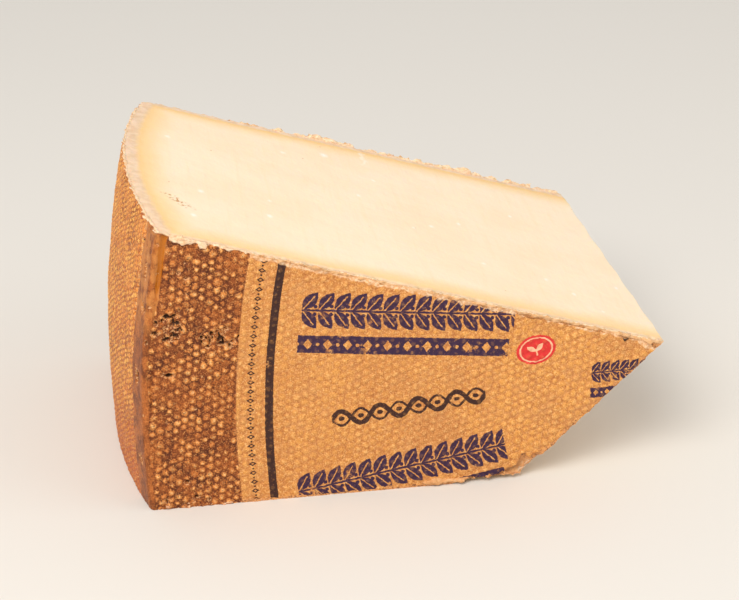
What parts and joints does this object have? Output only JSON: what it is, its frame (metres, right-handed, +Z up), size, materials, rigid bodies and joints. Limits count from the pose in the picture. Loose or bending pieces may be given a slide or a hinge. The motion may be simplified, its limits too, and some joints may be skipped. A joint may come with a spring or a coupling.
{
  "type": "cheese wedge",
  "caption": "Wedge of hard cheese cut from a wheel: bulging rind heel, smooth cut faces, an obliquely cut tip, and a printed label film on the flat side of the wheel.",
  "frame": {"origin": "under the middle of the wedge's box, on the surface that the lower cut stands on", "axes": "+X from the rind heel to the tip, +Y along the wheel's axis away from the labelled face, +Z up"},
  "size_m": [0.1538, 0.1108, 0.0854],
  "materials": {
    "cheese": "waxy pale paste with a dark brown cloth-marked rind",
    "label": "thin printed film stuck to the rind"
  },
  "bodies": {
    "root": {"cheese_wedge": "cheese", "face_label": "label"}
  },
  "joints": []
}
